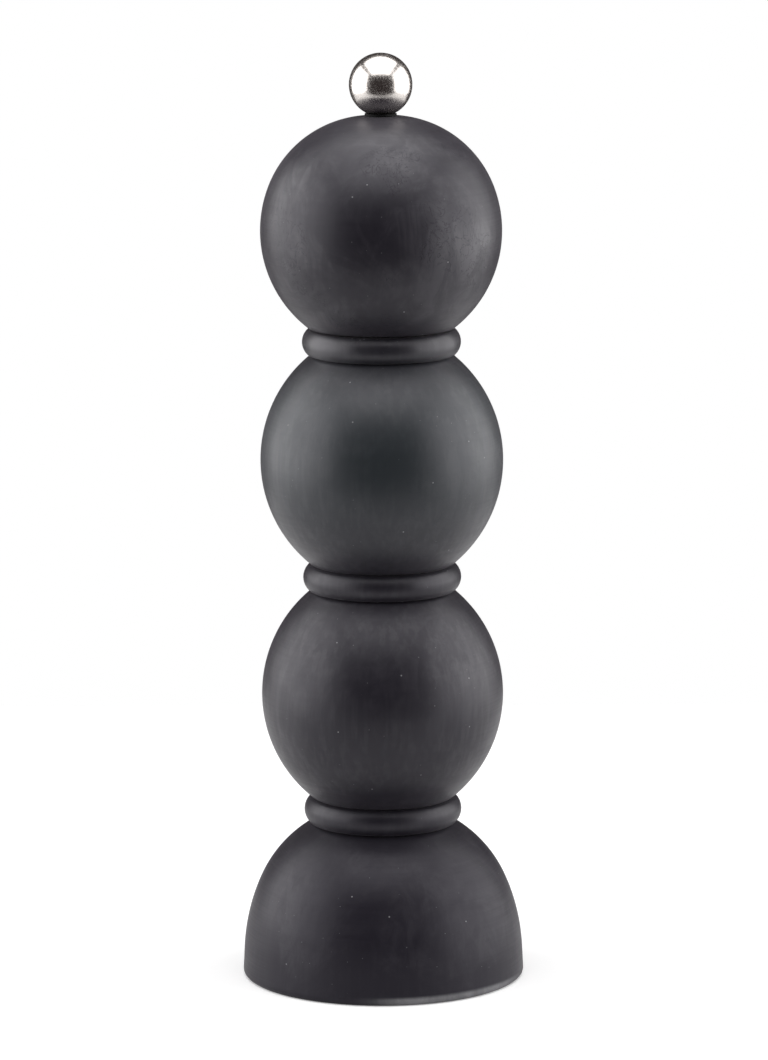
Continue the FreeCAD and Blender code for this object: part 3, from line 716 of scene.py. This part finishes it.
def polished_steel(name, colours):
    """Mirror-polished ball with faint hairlines and a grain of tiny pits."""
    f = Finish(name)
    pits = f.noise(f.place, 1700, 3, 0.6)
    hairlines = f.noise(f.stretched((0.05, 0.05, 1)), 4200, 2, 0.5)
    smudge = f.noise(f.place, 240, 3, 0.5)
    pitted = f.span(f.noise(f.place, 2100, 2, 0.6), 0.42, 0.66)
    tone = f.span(pits, 0.3, 0.7, 0.90, 1.0)
    f.set(Base_Color=f.blend(tone, shaded(0.82, colours.steel), tuple(colours.steel)), Metallic=1.0)
    f.set(Roughness=f.plus(f.span(smudge, 0.35, 0.7, 0.20, 0.23), f.times(pitted, 0.09)))
    surface = f.plus(f.times(pits, 0.8), f.times(hairlines, 0.2))
    return f.set(Normal=f.relief(surface, 0.004 * MM))


def drawn_steel(name, colours):
    """Satin bar and wire, drawn along its length."""
    f = Finish(name)
    draw = f.noise(f.stretched((1, 1, 0.02)), 2400, 3, 0.6)
    stain = f.noise(f.place, 160, 4, 0.6, 0.4)
    tone = f.blend(f.span(stain, 0.3, 0.75), tuple(colours.steel), shaded(0.72, colours.steel))
    f.set(Base_Color=tone, Metallic=1.0)
    f.set(Roughness=f.plus(f.span(draw, 0.25, 0.75, 0.24, 0.38), f.span(stain, 0.4, 0.8, 0, 0.08)))
    return f.set(Normal=f.relief(draw, 0.004 * MM))


def stamped_steel(name, colours):
    """Rolled sheet steel with tumble marks."""
    f = Finish(name)
    roll = f.noise(f.stretched((0.04, 1, 1)), 2000, 3, 0.6)
    tumble = f.noise(f.place, 900, 4, 0.65)
    tone = f.blend(f.span(tumble, 0.35, 0.7), tuple(colours.steel), shaded(0.78, colours.steel))
    f.set(Base_Color=tone, Metallic=1.0)
    f.set(Roughness=f.plus(f.span(roll, 0.3, 0.7, 0.28, 0.4), f.span(tumble, 0.4, 0.7, 0, 0.1)))
    return f.set(Normal=f.relief(f.plus(roll, tumble), 0.004 * MM))


def zinc_plate(name, colours):
    """Bright zinc on the fasteners, clouded in patches."""
    f = Finish(name)
    bloom = f.noise(f.place, 700, 4, 0.6)
    tone = f.blend(f.span(bloom, 0.35, 0.7), tuple(colours.zinc), shaded(0.7, colours.zinc))
    f.set(Base_Color=tone, Metallic=1.0, Roughness=f.span(bloom, 0.3, 0.7, 0.22, 0.42))
    return f.set(Normal=f.relief(bloom, 0.005 * MM))


def moulded_plastic(name, colours):
    """Spark-textured black plastic."""
    f = Finish(name)
    spark = f.noise(f.place, 3200, 3, 0.6)
    flow = f.noise(f.place, 90, 3, 0.5)
    tone = f.blend(f.span(flow, 0.3, 0.7), tuple(colours.plastic), shaded(1.5, colours.plastic))
    f.set(Base_Color=tone)
    f.set(Roughness=f.plus(f.span(spark, 0.3, 0.7, 0.42, 0.58), f.span(flow, 0.3, 0.7, 0, 0.06)))
    return f.set(Normal=f.relief(spark, 0.02 * MM))


def nylon_with_painted_shadow(name, colours):
    """Dull black nylon washer, coloured darker than nylon to paint the shadow under the ball nut."""
    f = Finish(name)
    cloud = f.noise(f.place, 1500, 3, 0.5)
    # Near-black colour paints the shadow gap under the ball nut over the washer's own black.
    dark, pale = shaded(0.12, colours.plastic), shaded(0.25, colours.plastic)
    f.set(Base_Color=f.blend(f.span(cloud, 0.3, 0.7), dark, pale), Specular_IOR_Level=0.2)
    f.set(Roughness=f.span(cloud, 0.3, 0.7, 0.6, 0.75))
    return f.set(Normal=f.relief(cloud, 0.006 * MM))


def sintered_ceramic(name, colours):
    """Off-white unglazed ceramic with specks of ground pepper."""
    f = Finish(name)
    body_tone = f.noise(f.place, 300, 4, 0.6)
    grain = f.noise(f.place, 4200, 3, 0.6)
    pale, warm = tuple(colours.ceramic), shaded(0.82, colours.ceramic)
    base = f.blend(f.span(body_tone, 0.35, 0.7), pale, warm)
    crumbs = f.specks(1500, 0.16 * MM, 0.06)
    f.set(Base_Color=f.blend(crumbs, base, tuple(colours.pepper)))
    f.set(Roughness=f.span(grain, 0.3, 0.7, 0.42, 0.6))
    return f.set(Normal=f.relief(grain, 0.012 * MM))


FINISHES = {
    "lacquered_wood": lacquered_beech,
    "polished_steel": polished_steel,
    "black_nylon": nylon_with_painted_shadow,
    "spindle_steel": drawn_steel,
    "plate_steel": stamped_steel,
    "spring_steel": drawn_steel,
    "plated_steel": zinc_plate,
    "housing_plastic": moulded_plastic,
    "burr_ceramic": sintered_ceramic,
}


made_finishes = {}


def finish_of(slot):
    """The finish of a slot, made the first time it's asked for."""
    if slot not in made_finishes:
        made_finishes[slot] = FINISHES[slot](slot, bpy.context.scene.mill_colours).material
    return made_finishes[slot]


# ---------------------------------------------------------------- wooden pieces


def body_outline(size):
    """Closed outline of the body: bell foot, rings, balls, then down the bores."""
    top = high("body").z
    seat = size.recess_depth
    wall = ((size.recess_radius, 0), (size.foot_radius, 0), (size.foot_wall_radius, size.foot_wall_height))
    under, side = eased_corner(*wall, size.foot_edge_round)
    moves = [under, (*side, size.foot_edge_round), wall[2]]
    moves.append((size.foot_shoulder_radius, size.foot_shoulder_height, SMOOTH))
    edge = size.foot_neck_radius
    for ring, middle in enumerate(ring_heights(size)):
        below, above = middle - size.seam_offset, middle + size.seam_offset
        arc = SMOOTH if ring == 0 else size.ball_arc
        moves += [
            (edge, below - size.seam_half_width, arc),
            (size.seam_floor_radius, below),
            (size.ring_edge_radius, below + size.seam_half_width),
        ]
        edge = size.ball_edge_radius
        if above < top:
            moves += [
                (size.ring_edge_radius, above - size.seam_half_width, size.ring_arc),
                (size.seam_floor_radius, above),
                (edge, above + size.seam_half_width),
            ]
    moves += [
        (size.ring_edge_radius, top - size.edge_ease, size.ring_arc),
        (size.gap_edge_radius, top),
        (size.mouth_radius + size.mouth_chamfer, top),
        (size.mouth_radius, top - size.mouth_chamfer),
        (size.mouth_radius, size.mouth_floor),
        (size.chamber_radius, size.mouth_floor),
        (size.chamber_radius, size.socket_top),
        (size.socket_radius, size.socket_top),
        (size.socket_radius, seat),
        (size.recess_radius, seat),
        (size.recess_radius, 0),
    ]
    return traced((size.recess_radius, 0), *moves)


class MILL_OT_turned_body(bpy.types.Operator):
    """Turn the body: bell foot, three rings and two balls, bored for pepper and grinder"""

    bl_idname = "mill.turned_body"
    bl_label = "Turned Body"

    def execute(self, context):
        size = context.scene.mill_turning
        path = sanded(body_outline(size), size.edge_ease, True)
        rows = rows_along(path, size.body_rows, True)
        piece, used = skin("body_turning", round_grid(rows, size.columns), True)
        radius, height = rows.T
        over = 0.1 * MM
        grinder_top = high("grinder_housing").z + 5 * over
        bore = np.select(
            [height < size.recess_depth + 3 * over, height < grinder_top],
            [size.recess_radius + over, size.socket_radius + over],
            size.mouth_radius + 2 * over,
        )
        raw = (radius < bore) & (height > 4 * over)
        mark(piece, used, size.columns, "raw", raw)
        place(piece, "mill_body", "lacquered_wood", finish_of("lacquered_wood"), "body")
        return {"FINISHED"}


class MILL_OT_turned_head(bpy.types.Operator):
    """Turn the ball-shaped head with the tenon that drops into the body's mouth"""

    bl_idname = "mill.turned_head"
    bl_label = "Turned Head"

    def execute(self, context):
        size = context.scene.mill_turning
        foot, crown = low("head").z, high("head").z
        joint = high("body").z + size.turning_gap
        land = high("knob_washer").x
        path = traced(
            (size.head_bore_radius, foot),
            (size.tenon_radius - size.tenon_chamfer, foot),
            (size.tenon_radius, foot + size.tenon_chamfer),
            (size.tenon_radius, joint),
            (size.gap_edge_radius, joint),
            (size.head_edge_radius, joint + size.edge_ease),
            (size.head_shoulder_radius, size.head_shoulder_height, size.head_arc),
            (land, crown, SMOOTH),
            (size.head_bore_radius, crown),
            (size.head_bore_radius, foot),
        )
        rows = rows_along(sanded(path, size.edge_ease, True), size.head_rows, True)
        piece, used = skin("head_turning", round_grid(rows, size.columns), True)
        radius, height = rows.T
        raw = (radius < size.tenon_radius + 0.3 * MM) & (height < joint + 0.05 * MM)
        raw |= (radius < size.head_bore_radius + 0.15 * MM) & (height < crown - 0.4 * MM)
        mark(piece, used, size.columns, "raw", raw)
        place(piece, "turning_head", "lacquered_wood", finish_of("lacquered_wood"), "head")
        return {"FINISHED"}


# ---------------------------------------------------------------- ball nut


class MILL_OT_ball_nut(bpy.types.Operator):
    """Turn the steel ball nut with its flat seat and threaded bore"""

    bl_idname = "mill.ball_nut"
    bl_label = "Ball Nut"

    def execute(self, context):
        size = context.scene.mill_hardware
        seat, top = low("knob").z, high("knob").z
        ball = (high("knob").x - low("knob").x) / 2
        flat = math.sqrt((top - seat) * (2 * ball - (top - seat)))
        bore = size.knob_bore_radius
        path = traced(
            (0, seat + size.knob_bore_depth),
            (bore, seat + size.knob_bore_depth - bore / 2),
            (bore, seat + bore / 4),
            (bore * 1.2, seat),
            (flat, seat),
            (0, top, ball),
        )
        path = sanded(path, size.knob_edge_ease, False)
        rows = rows_along(path, size.knob_rows, False, 6 * MM)
        rows[[0, -1], 0] = 0
        piece, _ = skin("ball_nut_turned", round_grid(rows, size.knob_columns), False)
        place(piece, "ball_nut", "polished_steel", finish_of("polished_steel"), "knob")
        return {"FINISHED"}


class MILL_OT_nut_washer(bpy.types.Operator):
    """Make the thin nylon washer under the ball nut"""

    bl_idname = "mill.nut_washer"
    bl_label = "Nut Washer"

    def execute(self, context):
        size = context.scene.mill_hardware
        base, top = low("knob_washer").z, high("knob_washer").z
        edge = high("knob_washer").x
        bore = size.washer_bore
        path = traced((bore, base), (edge, base), (edge, top), (bore, top), (bore, base))
        path = sanded(path, (top - base) / 8, True)
        rows = rows_along(path, size.washer_rows, True, 1 * MM)
        piece, _ = skin("nut_washer_disc", round_grid(rows, size.washer_columns), True)
        place(piece, "knob_seat", "black_nylon", finish_of("black_nylon"), "knob_washer")
        return {"FINISHED"}


# ---------------------------------------------------------------- spindle and spring


def rounded_square(angle, side, corner):
    """Distance from the axis to a rounded square's outline, at each angle.

    Folded into an eighth of a turn, a flat lies at half the side over the cosine, and a
    corner's arc at the far root of the circle about the corner's centre.
    """
    half = side / 2
    folded = np.abs((angle + math.pi / 4) % (math.pi / 2) - math.pi / 4)
    flat = half / np.cos(folded)
    centre = half - corner
    along = centre * (np.cos(folded) + np.sin(folded))
    aside = centre * (np.cos(folded) - np.sin(folded))
    arc = along + np.sqrt(np.maximum(corner**2 - aside**2, 0))
    return np.where(flat * np.sin(folded) > centre, arc, flat)


CREST_SLOPE = 2.6
CREST_WIDTH = 0.7


def thread_crest(angle, height, size):
    """Radius of the thread's surface: a trapezoid wave that climbs one pitch each turn."""
    phase = (height / size.thread_pitch - angle / FULL_TURN) % 1
    wave = np.clip(CREST_SLOPE * np.abs(2 * phase - 1) - CREST_WIDTH, 0, 1)
    return size.thread_radius - size.thread_depth * wave


class MILL_OT_spindle(bpy.types.Operator):
    """Make the square spindle with its threaded ends"""

    bl_idname = "mill.spindle"
    bl_label = "Spindle"

    def execute(self, context):
        size = context.scene.mill_hardware
        height = self.heights(size, low("spindle").z, high("spindle").z)
        angles, heights = np.meshgrid(even_angles(size.rod_columns), height)
        points = swept(self.radius(size, angles, heights), angles, heights)
        piece, _ = skin("spindle_rod", points, False, sharp=math.radians(30))
        place(piece, "grind_shaft", "spindle_steel", finish_of("spindle_steel"), "spindle")
        return {"FINISHED"}

    def heights(self, size, bottom, top):
        """Close rows along the threads, a few along the square and at its eased ends."""
        apart = 0.05 * MM
        per_length = size.thread_rows / size.thread_pitch
        upper = np.linspace(size.rod_top + apart, top, int((top - size.rod_top) * per_length))
        lower = np.linspace(bottom, size.rod_bottom - apart, int((size.rod_bottom - bottom) * per_length))
        eased = size.rod_ease * np.array([0, 0.3, 1])
        start = size.rod_bottom + eased
        rod = np.linspace(start[-1], 2 * size.rod_top / 3, 12)[1:]
        return np.concatenate([[bottom], lower, start, rod, size.rod_top - eased[::-1], upper, [top]])

    def radius(self, size, angles, heights):
        """The square between its ends, the thread beyond them, and a chamfer at each tip."""
        square = rounded_square(angles, 2 * size.rod_half_side, size.rod_corner)
        inside = np.minimum(heights - size.rod_bottom, size.rod_top - heights)
        shy = 1 - np.clip(inside / size.rod_ease, 0, 1)
        on_rod = (heights >= size.rod_bottom) & (heights <= size.rod_top)
        square = square - size.rod_end_drop * shy
        radius = np.where(on_rod, square, thread_crest(angles, heights, size))
        tip = np.minimum(heights - heights.min(), heights.max() - heights)
        radius = np.minimum(radius, size.thread_radius - size.thread_chamfer + tip)
        radius[[0, -1]] = 0
        return radius


CLOSED_SLOPE = 0.34


class MILL_OT_spring(bpy.types.Operator):
    """Wind the spring that pushes the burrs apart, with closed ends"""

    bl_idname = "mill.spring"
    bl_label = "Spring"

    def execute(self, context):
        size = context.scene.mill_hardware
        bottom, top = low("spring").z, high("spring").z
        wire = size.wire_radius
        mean = (high("spring").x - low("spring").x) / 2 - wire
        turns = np.linspace(0, size.spring_turns, size.spring_rows)
        centre = bottom + wire + self.rise(size, turns) * (top - bottom - 2 * wire)
        thick = np.pad(np.full(size.spring_rows, wire), 1)[:, None]
        turns, centre = (np.pad(row, 1, mode="edge")[:, None] for row in (turns, centre))
        around = even_angles(size.wire_columns)
        radius, height = mean - thick * np.cos(around), centre + thick * np.sin(around)
        piece, _ = skin("spring_coil", swept(radius, FULL_TURN * turns, height), False)
        place(piece, "spring_seat", "spring_steel", finish_of("spring_steel"), "spring")
        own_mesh(piece)
        return {"FINISHED"}

    def rise(self, size, turns):
        """Share of the spring's rise at each point: the running sum of a slope.

        The slope is 1 along the middle and falls in a straight line over the closed turns
        at both ends, to no less than CLOSED_SLOPE.
        """
        share = turns / size.spring_turns
        closed = size.spring_end_turns / size.spring_turns
        slope = np.clip(np.minimum(share, 1 - share) / closed, CLOSED_SLOPE, 1)
        rise = np.concatenate([[0], np.cumsum((slope[1:] + slope[:-1]) / 2)])
        return rise / rise[-1]


# ---------------------------------------------------------------- pieces kept from the frame


def finished(*nodes):
    """Give frame nodes whose shape is right the finish of their own slot."""
    slots = {part["node"]: part["material_slot"] for part in frame["record"]["subparts"]}
    for node in nodes:
        piece = frame["nodes"][node]
        material = finish_of(slots[node])
        if not piece.material_slots:
            piece.data.materials.append(material)
        for holder in piece.material_slots:
            holder.material = material
    return {"FINISHED"}


class MILL_OT_drive_plate(bpy.types.Operator):
    """Finish the drive plate under the head"""

    bl_idname = "mill.drive_plate"
    bl_label = "Drive Plate"

    def execute(self, context):
        return finished("drive_plate")


class MILL_OT_screws(bpy.types.Operator):
    """Finish the six wood screws"""

    bl_idname = "mill.screws"
    bl_label = "Screws"

    def execute(self, context):
        return finished(*(f"{row}_screw_{number}" for row in ("plate", "housing") for number in (1, 2, 3)))


class MILL_OT_bridge(bpy.types.Operator):
    """Finish the bridge that holds the spring down"""

    bl_idname = "mill.bridge"
    bl_label = "Bridge"

    def execute(self, context):
        return finished("bridge")


class MILL_OT_washers(bpy.types.Operator):
    """Finish the three square-holed washers"""

    bl_idname = "mill.washers"
    bl_label = "Washers"

    def execute(self, context):
        return finished("spring_washer_top", "spring_washer_bottom", "retaining_washer")


class MILL_OT_lock_nut(bpy.types.Operator):
    """Finish the lock nut under the cone"""

    bl_idname = "mill.lock_nut"
    bl_label = "Lock Nut"

    def execute(self, context):
        return finished("lock_nut")


class MILL_OT_grinder_plastics(bpy.types.Operator):
    """Finish the grinder's housing and the cone's driver"""

    bl_idname = "mill.grinder_plastics"
    bl_label = "Grinder Plastics"

    def execute(self, context):
        return finished("grinder_housing", "burr_driver")


class MILL_OT_burrs(bpy.types.Operator):
    """Finish the toothed ring and the cone that turns in it"""

    bl_idname = "mill.burrs"
    bl_label = "Burrs"

    def execute(self, context):
        return finished("burr_ring", "burr_cone")


# ---------------------------------------------------------------- stage


TABLE_LINES = 5


class MILL_OT_stage(bpy.types.Operator):
    """Set out the pale table, the light tent and the camera"""

    bl_idname = "mill.stage"
    bl_label = "Stage"

    def execute(self, context):
        stage = context.scene.mill_stage
        self.floor(stage, context.scene.mill_colours)
        self.tent(stage)
        self.room(stage, context.scene.mill_colours)
        self.camera(stage)
        return {"FINISHED"}

    def floor(self, stage, colours):
        """Flat table top: a grid of even steps across and back.

        The camera sees it paler than its reflections are, and it's clear from underneath.
        """
        across = np.linspace(-stage.table_half_width, stage.table_half_width, TABLE_LINES)
        back = np.linspace(-stage.table_front, stage.table_back, TABLE_LINES)
        across, back = np.meshgrid(across, back)
        floor, _ = skin("table_top", np.stack([across, back, 0 * back], -1), False, False)
        f = Finish("pale_table")
        tooth = f.noise(f.place, 900, 4, 0.6)
        seen = f.add("ShaderNodeLightPath").outputs["Is Camera Ray"]
        tone = f.blend(seen, shaded(stage.table_shade, colours.floor), tuple(colours.floor))
        f.set(Base_Color=f.blend(f.span(tooth, 0.3, 0.7, 0, 0.02), tone, tuple(colours.floor_tooth)))
        f.set(Roughness=f.span(tooth, 0.3, 0.7, 0.55, 0.65))
        f.set(Emission_Color=(1, 1, 1, 1), Emission_Strength=f.times(seen, stage.table_glow))
        under = f.add("ShaderNodeNewGeometry").outputs["Backfacing"]
        f.set(Alpha=f.less(1.0, under))
        floor.data.materials.append(f.material)

    def tent(self, stage):
        """Three glowing panels: left, right and roof, with dark gaps between them."""
        wall = stage.tent_height - stage.tent_gap
        roof = 2 * (stage.tent_half_width - stage.tent_gap)
        quarter = math.pi / 2
        sides = (stage.tent_front, stage.tent_back)
        top = (stage.tent_roof_front, stage.tent_roof_back)
        panels = (
            ("left", -stage.tent_half_width, wall / 2, -quarter, wall, sides),
            ("right", stage.tent_half_width, wall / 2, quarter, wall, sides),
            ("roof", 0, stage.tent_height, 0, roof, top),
        )
        for name, across, height, turn, width, (front, back) in panels:
            depth = front + back
            lamp = bpy.data.lights.new(f"tent_{name}", "AREA")
            lamp.shape = "RECTANGLE"
            lamp.size = width
            lamp.size_y = depth
            lamp.energy = stage.panel_glow * math.pi * width * depth
            panel = bpy.data.objects.new(f"tent_{name}", lamp)
            panel.location = (across, (back - front) / 2, height)
            panel.rotation_euler = (0, turn, 0)
            panel.visible_camera = False
            bpy.context.scene.collection.objects.link(panel)

    def room(self, stage, colours):
        """White behind the object, and a dim room for light and reflections."""
        world = bpy.data.worlds.new("room")
        bpy.context.scene.world = world
        world.use_nodes = True
        tree = world.node_tree
        white = tree.nodes["Background"]
        white.inputs["Color"].default_value = (1, 1, 1, 1)
        dim = tree.nodes.new("ShaderNodeBackground")
        dim.inputs["Color"].default_value = (*colours.room, 1)
        dim.inputs["Strength"].default_value = stage.room_glow
        choice = tree.nodes.new("ShaderNodeMixShader")
        path = tree.nodes.new("ShaderNodeLightPath")
        tree.links.new(path.outputs["Is Camera Ray"], choice.inputs[0])
        tree.links.new(dim.outputs[0], choice.inputs[1])
        tree.links.new(white.outputs[0], choice.inputs[2])
        tree.links.new(choice.outputs[0], tree.nodes["World Output"].inputs["Surface"])

    def camera(self, stage):
        """Camera in front of the axis, tilted down to look at the aim height."""
        data = bpy.data.cameras.new("camera")
        data.lens = stage.lens
        camera = bpy.data.objects.new("camera", data)
        tilt = math.atan2(stage.camera_height - stage.aim_height, stage.camera_distance)
        camera.location = (stage.camera_offset, -stage.camera_distance, stage.camera_height)
        camera.rotation_euler = (math.pi / 2 - tilt, math.radians(stage.camera_roll), 0)
        bpy.context.scene.collection.objects.link(camera)
        bpy.context.scene.camera = camera
        bpy.context.scene.view_settings.view_transform = "Standard"


# ---------------------------------------------------------------- add-on


class MILL_PT_panel(bpy.types.Panel):
    """Lists every piece of the mill with its sizes and colours"""

    bl_idname = "MILL_PT_panel"
    bl_label = "Pepper Mill"
    bl_space_type = "VIEW_3D"
    bl_region_type = "UI"
    bl_category = "Pepper Mill"

    def draw(self, context):
        for operator in OPERATORS:
            self.layout.operator(operator.bl_idname)
        for name in GROUPS:
            box = self.layout.box()
            for key in getattr(context.scene, name).bl_rna.properties.keys():
                if key not in ("rna_type", "name"):
                    box.prop(getattr(context.scene, name), key)


GROUPS = {
    "mill_turning": MillTurningSizes,
    "mill_hardware": MillHardwareSizes,
    "mill_colours": MillColours,
    "mill_stage": MillStageSettings,
}
OPERATORS = (
    MILL_OT_stage,
    MILL_OT_turned_body,
    MILL_OT_turned_head,
    MILL_OT_ball_nut,
    MILL_OT_nut_washer,
    MILL_OT_spindle,
    MILL_OT_spring,
    MILL_OT_drive_plate,
    MILL_OT_screws,
    MILL_OT_bridge,
    MILL_OT_washers,
    MILL_OT_lock_nut,
    MILL_OT_grinder_plastics,
    MILL_OT_burrs,
)


def register():
    for kind in (*GROUPS.values(), *OPERATORS, MILL_PT_panel):
        bpy.utils.register_class(kind)
    for name, kind in GROUPS.items():
        setattr(bpy.types.Scene, name, PointerProperty(type=kind))


def unregister():
    for name in GROUPS:
        delattr(bpy.types.Scene, name)
    for kind in (MILL_PT_panel, *reversed(OPERATORS), *reversed(list(GROUPS.values()))):
        bpy.utils.unregister_class(kind)


def main():
    register()
    bpy.ops.mill.stage()
    bpy.ops.mill.turned_body()
    bpy.ops.mill.turned_head()
    bpy.ops.mill.ball_nut()
    bpy.ops.mill.nut_washer()
    bpy.ops.mill.spindle()
    bpy.ops.mill.spring()
    bpy.ops.mill.drive_plate()
    bpy.ops.mill.screws()
    bpy.ops.mill.bridge()
    bpy.ops.mill.washers()
    bpy.ops.mill.lock_nut()
    bpy.ops.mill.grinder_plastics()
    bpy.ops.mill.burrs()


if __name__ == "__main__":
    main()
